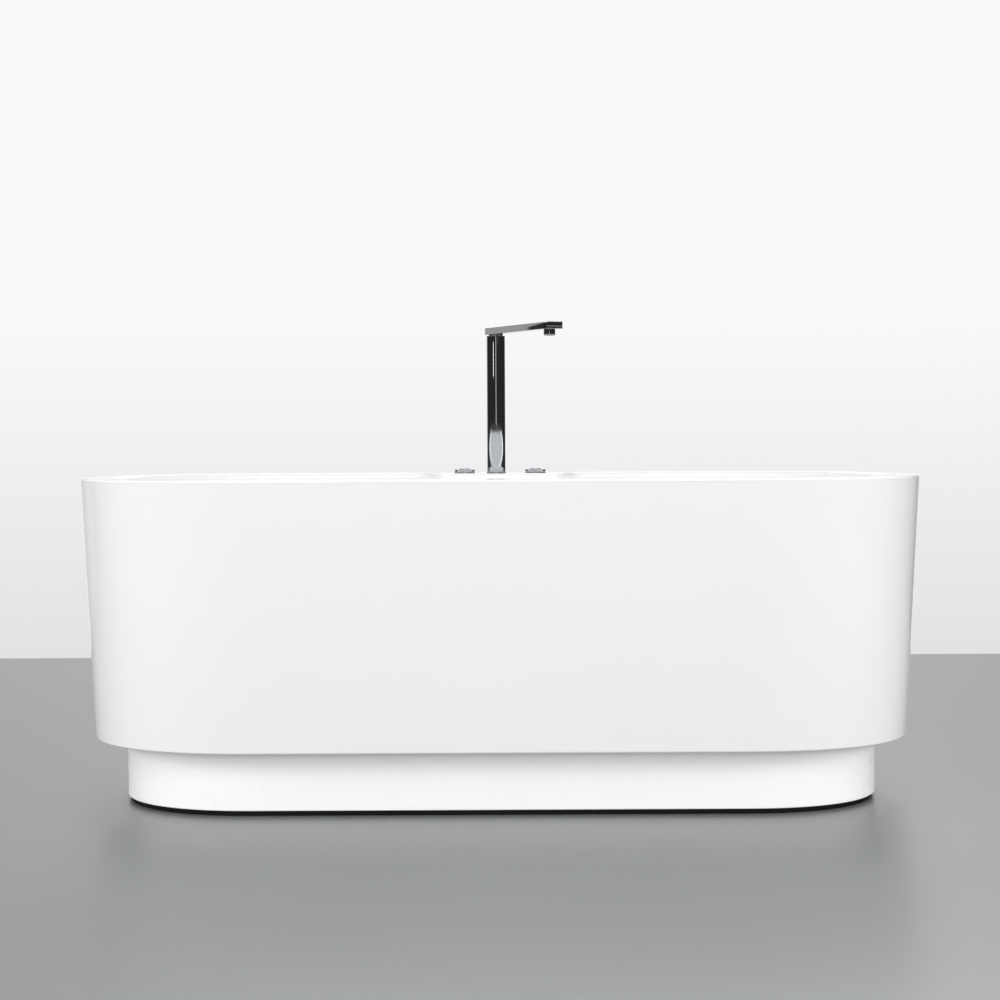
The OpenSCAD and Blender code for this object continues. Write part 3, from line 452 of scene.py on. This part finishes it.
def wall_ring(t, out=0.0, down=0.0):
    """The basin's wall at t, moved out and down for the back of the shell."""
    into, drop = basin_wall(t)
    flat = outline(HALF_L - RIM_W - END_SLOPE * into + out, HALF_W - RIM_W - SIDE_SLOPE * into + out,
                   LEDGE_D - RIM_W - (SIDE_SLOPE - LEDGE_SLOPE) * into)
    z = TUB_H - INNER_R - (TUB_H - BASIN_Z - INNER_R) * drop - down
    return np.column_stack([flat, np.full(len(flat), z)])


def floor_rings(edge, hole_r, shares):
    """Rings over a flat floor, each point a share of the way from a round hole to the edge ring."""
    radius = np.hypot(edge[:, 0], edge[:, 1])[:, None]
    hole = np.column_stack([edge[:, :2] / radius * hole_r, edge[:, 2]])
    return [hole + share * (edge - hole) for share in shares]


def make_basin():
    """The inner shell as one closed sheet: from the waste hole over the floor, up the wall, over the rim's
    two radii, under the rim and down the wall's back to the hole again."""
    ledge = LEDGE_D - RIM_W
    shares = np.array([0, 0.05, 0.2, 0.4, 0.6, 0.8, 0.95])
    wall_t = np.linspace(1, 0, 61)
    rise = np.radians(np.linspace(90, 0, 9))
    rings = floor_rings(wall_ring(1), WASTE_D / 2, shares) + [wall_ring(t) for t in wall_t[:-1]]
    rings += [ring(RIM_W - INNER_R + INNER_R * np.sin(a), TUB_H - INNER_R + INNER_R * np.cos(a), ledge)
              for a in rise]
    rings += [ring(RIM_W - INNER_R - 2, TUB_H, ledge), ring(EDGE_R + 1, TUB_H)]
    rings += [ring(EDGE_R * (1 - np.cos(a)), TUB_H - EDGE_R + EDGE_R * np.sin(a)) for a in rise]
    under = TUB_H - SHELL_T
    rings += [ring(0, under + 0.3), ring(0.3, under), ring(RIM_W - SHELL_T, under, ledge)]
    rings += [wall_ring(t, SHELL_T * (1 - t ** 3), SHELL_T * t ** 3) for t in wall_t[:0:-2]]
    rings += [wall_ring(1, 0, SHELL_T)]
    rings += floor_rings(wall_ring(1, 0, SHELL_T), WASTE_D / 2, shares[::-1])
    fixed_piece("basin_shell", np.array(rings), "acrylic_basin", "basin")


def make_skirt():
    """The outer shell: a face that draws in evenly to a rounded lower edge, a flange that runs in under the
    tub, and the back of the sheet."""
    top, slope = TUB_H - SHELL_T, DRAW_IN / (TUB_H - SHELL_T - SKIRT_Z)
    back = SHELL_T + slope * (top - SKIRT_Z - SHELL_T)
    profile = rounded([
        (0, top, 0.3), (DRAW_IN, SKIRT_Z, EDGE_R), (DRAW_IN + SHELF_W, SKIRT_Z, 1.5),
        (DRAW_IN + SHELF_W, SKIRT_Z + SHELL_T, 1.5), (back, SKIRT_Z + SHELL_T, 2), (SHELL_T, top, 0.3)])
    fixed_piece("skirt_shell", ring_loop(profile), "acrylic_shell", "outer_shell")


def make_plinth():
    """The recessed panel and the foam strip under it, each a closed profile carried round the outline."""
    low, high = corner("plinth", 0)[2], corner("plinth", 1)[2]
    face, back = PLINTH_FACE, PLINTH_FACE + PLINTH_T
    panel = rounded([(face, high, 0.5), (face, low, 2), (back, low, 1), (back, high, 0.5)])
    fixed_piece("plinth_panel", ring_loop(panel), "plinth_panel", "plinth")
    front, rear = face + SEAL_INSET, face + SEAL_INSET + SEAL_T
    strip = rounded([(front, low, 1), (front, 0, 3), (rear, 0, 3), (rear, low, 1)])
    fixed_piece("plinth_foam_strip", ring_loop(strip), "black_seal", "plinth_seal")


# ---------------------------------------------------------------- tap

def on_ledge(rings, x, z=TUB_H):
    """Moves a piece turned about +Z to its place on the ledge."""
    return rings + np.array([x, TAP_Y, z])


def chrome_piece(name, skins, body, node):
    """A chrome-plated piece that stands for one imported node."""
    piece(name, skins, FINISHES["chrome_plate"], body, [node])


def make_column():
    """The column and its base ring: turned tubes with softly broken edges."""
    r, bore = COLUMN_D / 2, COLUMN_BORE / 2
    low = corner("spout_column", 0)[2]
    wall = rounded([(r, low, 0.4), (r, COLUMN_TOP, 0.7), (bore, COLUMN_TOP, 0.4), (bore, low, 0.4)])
    tube_rings = on_ledge(turned(wall, 128), COLUMN[0], 0)
    chrome_piece("column_tube", [skin(tube_rings, True)], "tub", "spout_column")
    inner, height = 16.2, 2.5
    foot = rounded([(inner, 0, 0.3), (r + 1.2, 0, 0.3), (r + 1.2, 1.7, 0.6), (r + 0.5, height, 0.3),
                    (inner, height, 0.3)])
    foot_rings = on_ledge(turned(foot, 128), COLUMN[0])
    chrome_piece("column_base_ring", [skin(foot_rings, True)], "tub", "spout_base_ring")


def arm_outline(inset):
    """The arm's plan: a rectangle with small round corners, drawn in by inset."""
    left, right, half = -ARM_TAIL + inset, ARM_REACH - inset, ARM_W / 2 - inset
    r = max(1.2 - inset, 0.4)
    return rounded([(left, -half, r), (right, -half, r), (right, half, r), (left, half, r)])


def on_arm(points):
    """Turns a shape made along +X to the arm's direction at rest, and moves it to the column's axis."""
    c, s = np.cos(ARM_TURN), np.sin(ARM_TURN)
    x, y, z = points[..., 0], points[..., 1], points[..., 2]
    return np.stack([COLUMN[0] + c * x - s * y, COLUMN[1] + s * x + c * y, z], axis=-1)


def make_arm():
    """The arm's slab with rounded edges, and the spigot below it that turns in the column."""
    edge = 0.8
    turn = np.radians(np.linspace(0, 90, 5))
    inset = np.concatenate([[edge * 2], edge * (1 - np.sin(turn))])
    rise = np.concatenate([[0], edge * (1 - np.cos(turn))])
    rows = np.concatenate([np.column_stack([inset, ARM_Z + rise]),
                           np.column_stack([inset, ARM_Z + ARM_T - rise])[::-1]])
    slab = np.array([np.column_stack([flat, np.full(len(flat), z)])
                     for flat, z in ((arm_outline(i), z) for i, z in rows)])
    low, high = COLUMN_TOP - SPIGOT_L, ARM_Z + 1
    spigot = turned(rounded([(AXIS, low, 0), (SPIGOT_R, low, 0.5), (SPIGOT_R, high, 0), (AXIS, high, 0)]), 48)
    skins = [skin(on_arm(part), False) for part in (slab, spigot)]
    chrome_piece("spout_arm_slab", skins, "spout", "spout_arm")


def make_aerator():
    """The aerator's housing: a short turned sleeve with a well rounded mouth, close under the arm."""
    low, high = corner("aerator_shell", 0)[2], ARM_Z
    top, inner, neck, outer = high + 4.9, 9, 9.9, 12
    sleeve = rounded([(inner, low, 0.5), (outer, low, 2.4), (outer, high, 0.2), (neck, high, 0),
                      (neck, top, 0.3), (inner, top, 0.3)])
    rings = turned(sleeve, 96) + np.array([AERATOR_AT, 0, 0])
    chrome_piece("aerator_housing", [skin(on_arm(rings), True)], "spout", "aerator_shell")


def make_valve(side, name):
    """A valve's ring and its low knob with a raised middle and a finger notch, with the spindle below
    it."""
    x, outer, height = side * KNOB_X, KNOB_R + 0.5, 2
    low = rounded([(KNOB_RING_BORE, 0, 0.3), (outer, 0, 0.3), (outer, height, 0.6),
                   (KNOB_RING_BORE, height, 0.3)])
    chrome_piece(name + "_knob_ring", [skin(on_ledge(turned(low), x), True)], "tub", name + "_ring")
    top = corner(name + "_knob", 1)[2]
    under, shoulder, raised_r = top - 7.7, top - 2, 12
    cap = rounded([(AXIS, under, 0), (KNOB_R, under, 0.6), (KNOB_R, shoulder, 1.1),
                   (raised_r, shoulder, 0.6), (raised_r, top, 0.5), (AXIS, top, 0)])
    cap = notched(turned(cap, 144), raised_r + 1, KNOB_R, [-np.pi / 2], 25, 5.5)
    end, root, spindle_r = top - 30, top - 6, 4.5
    spindle = turned(rounded([(AXIS, end, 0), (spindle_r, end, 0.4), (spindle_r, root, 0),
                              (AXIS, root, 0)]), 32)
    skins = [skin(on_ledge(part, x, 0), False) for part in (cap, spindle)]
    chrome_piece(name + "_knob_cap", skins, name + "_handle", name + "_knob")


# ---------------------------------------------------------------- waste and overflow

def make_waste():
    """The waste's flange with its sleeve, and the plug's cap, both turned. The cap's dome falls from its
    middle by the square of the distance from the axis."""
    z = BASIN_Z
    flange = rounded([(22, z - 26, 0.3), (25, z - 26, 0.3), (25, z, 0.3), (36, z, 0.2), (36, z + 1, 0.5),
                      (33, z + 3, 1), (26, z + 3, 0.8), (22, z - 2, 1)])
    chrome_piece("waste_flange", [skin(turned(flange), True)], "tub", "drain_flange")
    low, high = corner("plug_cap", 0)[2], corner("plug_cap", 1)[2]
    cap_r, rim_h = 31, 2
    r = np.linspace(cap_r - 1, AXIS, 16)
    rim = rounded([(AXIS, low, 0), (cap_r, low, 0.8), (cap_r, low + rim_h, 0.9), (r[1], low + 2.4, 0)])
    dome = np.column_stack([r[2:], high - (high - low - rim_h) * (r[2:] / cap_r) ** 2])
    chrome_piece("plug_dome", [skin(turned(np.vstack([rim[:-1], dome])), False)], "plug", "plug_cap")


def make_overflow():
    """The overflow's knob: a turned cap, hollow behind, with a finger recess on each side."""
    front, back = corner("overflow_knob", 0)[1], corner("overflow_knob", 1)[1]
    depth, face, hub_r = back - front, 4, 9
    inner, hub_end = OVERFLOW_R - 3, depth - 3
    cap = rounded([(AXIS, 0, 0), (OVERFLOW_R - 4, 0, 2), (OVERFLOW_R, face, 2.2), (OVERFLOW_R, depth, 0.6),
                   (inner, depth, 0.6), (inner, face, 1), (hub_r, face, 1), (hub_r, hub_end, 0.5),
                   (AXIS, hub_end, 0)])
    rings = notched(turned(cap, 144), 20, OVERFLOW_R, [0, np.pi], 40, 9)
    x, y, z = rings[..., 0], rings[..., 1], rings[..., 2]
    placed = np.stack([x, front + z, OVERFLOW_Z - y], axis=-1)
    chrome_piece("overflow_cap", [skin(placed, False)], "overflow_handle", "overflow_knob")


def hose_path(x, end_y, step):
    """Points a step apart down behind the basin, round a quarter bend and level to the waste, in one
    plane."""
    bend, reach = HOSE_BEND, corner("overflow_hose", 1)
    y, top = reach[1] - HOSE_D / 2, reach[2]
    drop, turn, level = top - HOSE_LOW - bend, bend * np.pi / 2, y - bend - end_y
    s = np.arange(0, drop + turn + level, step)
    angle = np.clip((s - drop) / bend, 0, np.pi / 2)
    run = np.clip(s - drop - turn, 0, None)
    return np.column_stack([
        np.full_like(s, x),
        y - bend * (1 - np.cos(angle)) - run,
        top - np.clip(s, 0, drop) - bend * np.sin(angle)])


def make_hoses():
    """The overflow's hose, with a rib every 5 mm, and the plain sheath of the plug's cable beside it."""
    rib, groove, step = 5, 1.1, 0.625
    path = hose_path(0, 42, step)
    along = np.arange(len(path)) * step
    radius = HOSE_D / 2 - 0.1 - groove * (0.5 - 0.5 * np.cos(2 * np.pi * along / rib)) ** 1.5
    fixed_piece("ribbed_overflow_hose", tube(path, radius, 40), "grey_hose", "overflow_hose", False)
    sheath = tube(hose_path(CABLE_X, 36, 4), CABLE_R, 20)
    fixed_piece("plug_cable_sheath", sheath, "black_sheath", "plug_cable", False)


make_basin()
make_skirt()
make_plinth()
make_column()
make_arm()
make_aerator()
make_valve(-1, "hot")
make_valve(1, "cold")
make_waste()
make_overflow()
make_hoses()

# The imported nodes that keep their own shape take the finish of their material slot
for row in frame["record"]["subparts"]:
    node = NODES[row["node"]]
    node.data.materials.clear()
    node.data.materials.append(FINISHES[row["material_slot"]])


# ---------------------------------------------------------------- floor, light and camera

def make_floor():
    """Painted concrete floor: pale grey, a slow mottle and a soft sheen. It ends behind the tub."""
    x, front, rear = 8, -8, 2.78
    mesh = bpy.data.meshes.new("floor")
    mesh.from_pydata([(-x, front, 0), (x, front, 0), (x, rear, 0), (-x, rear, 0)], [], [(0, 1, 2, 3)])
    floor = bpy.data.objects.new("floor", mesh)
    bpy.context.scene.collection.objects.link(floor)
    material, tree, surface, place = blank("painted_concrete", Roughness=0.3)
    tint(tree, mottle(tree, place, 900, 6), "Fac", surface, "#757878", "#787B7B")
    relief(tree, surface, mottle(tree, place, 12, 3), "Fac", 0.05)
    mesh.materials.append(material)


def band(tree, parts, axis, start, end):
    """A value that goes smoothly from 0 to 1 while a direction's component on an axis goes from start to
    end."""
    return add(tree, "MapRange", {"From Min": start, "From Max": end, "interpolation_type": "SMOOTHSTEP"},
               [("Value", parts, axis)])


def lamp(tree, level, bands):
    """A patch of the surroundings: its level times every band."""
    made = add(tree, "Math", {"operation": "MULTIPLY", 1: level}, [(0, bands[0], "Result")])
    for other in bands[1:]:
        made = add(tree, "Math", {"operation": "MULTIPLY"}, [(0, made, "Value"), (1, other, "Result")])
    return made


def make_sky():
    """Surroundings by direction: to the camera a pale wall with painted shade, darker towards the floor and
    lighter upwards, to matt surfaces a soft fill, and to reflections a dark room with a bright wall behind
    the tub, a grey one to its left, a pale ceiling, and a small bright oval just under the horizon in front,
    which is the column's long highlight. The oval is where (95 Z + 0.66)^2 + 0.94 Y + 0.94 is under 1, and
    brighter at its edge."""
    world = bpy.data.worlds.new("studio")
    world.use_nodes = True
    bpy.context.scene.world = world
    tree = world.node_tree
    out, plain = tree.nodes["World Output"], tree.nodes["Background"]
    rays = add(tree, "LightPath", {})
    fill = add(tree, "Background", {"Color": (1, 1, 1, 1), "Strength": 0.57})
    place = add(tree, "TexCoord", {})
    parts = add(tree, "SeparateXYZ", {}, [("Vector", place, "Generated")])
    # Painted shade on the wall: its colour is darker towards the floor and lighter upwards
    height = add(tree, "MapRange", {"From Min": -0.11, "From Max": 0.05}, [("Value", parts, "Z")])
    wall = add(tree, "Mix", {"data_type": "RGBA", 6: linear("#DFE0E1"), 7: linear("#F9F9F9")},
               [(0, height, "Result")])
    tree.links.new(wall.outputs[2], plain.inputs["Color"])
    across = add(tree, "Math", {"operation": "MULTIPLY_ADD", 1: 0.94, 2: 0.94}, [(0, parts, "Y")])
    drop = add(tree, "Math", {"operation": "MULTIPLY_ADD", 1: 95, 2: 0.66}, [(0, parts, "Z")])
    oval = add(tree, "Math", {"operation": "MULTIPLY_ADD"}, [(0, drop, "Value"), (1, drop, "Value"),
                                                             (2, across, "Value")])
    inside = add(tree, "MapRange", {"From Min": 1.03, "From Max": 0.97}, [("Value", oval, "Value")])
    edge = add(tree, "MapRange", {"From Min": 0.78, "From Max": 0.84}, [("Value", oval, "Value")])
    below = band(tree, parts, "Z", 0.0003, -0.0003)
    patches = [
        # The wall behind the tub
        lamp(tree, 0.93, [band(tree, parts, "Y", 0.9, 0.97)]),
        # The grey wall to its left, as far as the one behind
        lamp(tree, 0.42, [band(tree, parts, "X", -0.2, -0.3), band(tree, parts, "Y", 0.657, 0.6585),
                          band(tree, parts, "Y", 0.97, 0.9)]),
        # The ceiling
        lamp(tree, 0.6, [band(tree, parts, "Z", 0.15, 0.5)]),
        # The oval and its brighter edge
        lamp(tree, 0.74, [below, inside]),
        lamp(tree, 0.9, [below, inside, edge])]
    dark = 0.03
    level = add(tree, "Math", {"operation": "ADD", 1: dark}, [(0, patches[0], "Value")])
    for patch in patches[1:]:
        level = add(tree, "Math", {"operation": "ADD"}, [(0, level, "Value"), (1, patch, "Value")])
    mirror = add(tree, "Background", {"Color": (1, 1, 1, 1)}, [("Strength", level, "Value")])
    lit = add(tree, "MixShader", {}, [(0, rays, "Is Glossy Ray"), (1, fill, 0), (2, mirror, 0)])
    seen = add(tree, "MixShader", {}, [(0, rays, "Is Camera Ray"), (1, lit, 0), (2, plain, 0)])
    tree.links.new(seen.outputs[0], out.inputs["Surface"])


def area_light(name, place, target, width, height, power, mirrored=True):
    """A soft rectangular light at a place in metres, turned to a target. Mirrored says if gloss shows
    it."""
    data = bpy.data.lights.new(name, "AREA")
    data.shape = "RECTANGLE"
    data.size, data.size_y, data.energy = width, height, power
    light = bpy.data.objects.new(name, data)
    light.location = place
    light.rotation_euler = (Vector(target) - Vector(place)).to_track_quat("-Z", "Y").to_euler()
    light.visible_camera = False
    light.visible_glossy = mirrored
    bpy.context.scene.collection.objects.link(light)


def make_lights():
    """One large soft key from the front and above, low and side fills that keep the tub's ends as bright as
    its middle, a fill behind, and two narrow strips beside the camera that streak the chrome column."""
    middle = (0, 0, 0.4)
    area_light("key", (-0.3, -4.8, 2.9), middle, 6.0, 2.0, 86)
    area_light("low_front", (0, -6.0, 1.0), middle, 5.0, 1.6, 100, False)
    area_light("side_left", (-4.6, -1.5, 1.2), middle, 2.4, 1.6, 78, False)
    area_light("side_right", (4.6, -1.5, 1.2), middle, 2.4, 1.6, 80, False)
    area_light("rear", (0.5, 4.8, 3.4), middle, 4.0, 2.0, 90)
    tap = (0, 0.3, 0.95)
    area_light("strip_left", (-2.9, -4.6, 1.08), tap, 0.4, 0.16, 0.6)
    area_light("strip_right", (0.05, -4.9, 0.97), tap, 0.4, 0.4, 0.6)


def make_camera():
    """A long lens a little above the rim, straight in front of the tub's middle. Yaw turns it to the right,
    pitch down, and roll lifts its right side, in radians."""
    data = bpy.data.cameras.new("camera")
    data.sensor_width = 36
    data.lens = 80.606
    camera = bpy.data.objects.new("camera", data)
    yaw, pitch, roll = 0.0003, 0.0305, -0.0048
    right = Vector((np.cos(yaw), -np.sin(yaw), 0))
    level = Vector((np.sin(yaw), np.cos(yaw), 0))
    ahead = level * np.cos(pitch) - Vector((0, 0, 1)) * np.sin(pitch)
    up = Vector((0, 0, 1)) * np.cos(pitch) + level * np.sin(pitch)
    across = right * np.cos(roll) + up * np.sin(roll)
    above = up * np.cos(roll) - right * np.sin(roll)
    turn = Matrix((across, above, -ahead)).transposed()
    stand = (-0.0018, -4.5839, 0.7396)
    camera.matrix_world = Matrix.Translation(stand) @ turn.to_4x4()
    bpy.context.scene.collection.objects.link(camera)
    bpy.context.scene.camera = camera


make_floor()
make_sky()
make_lights()
make_camera()
bpy.context.scene.view_settings.view_transform = "Standard"
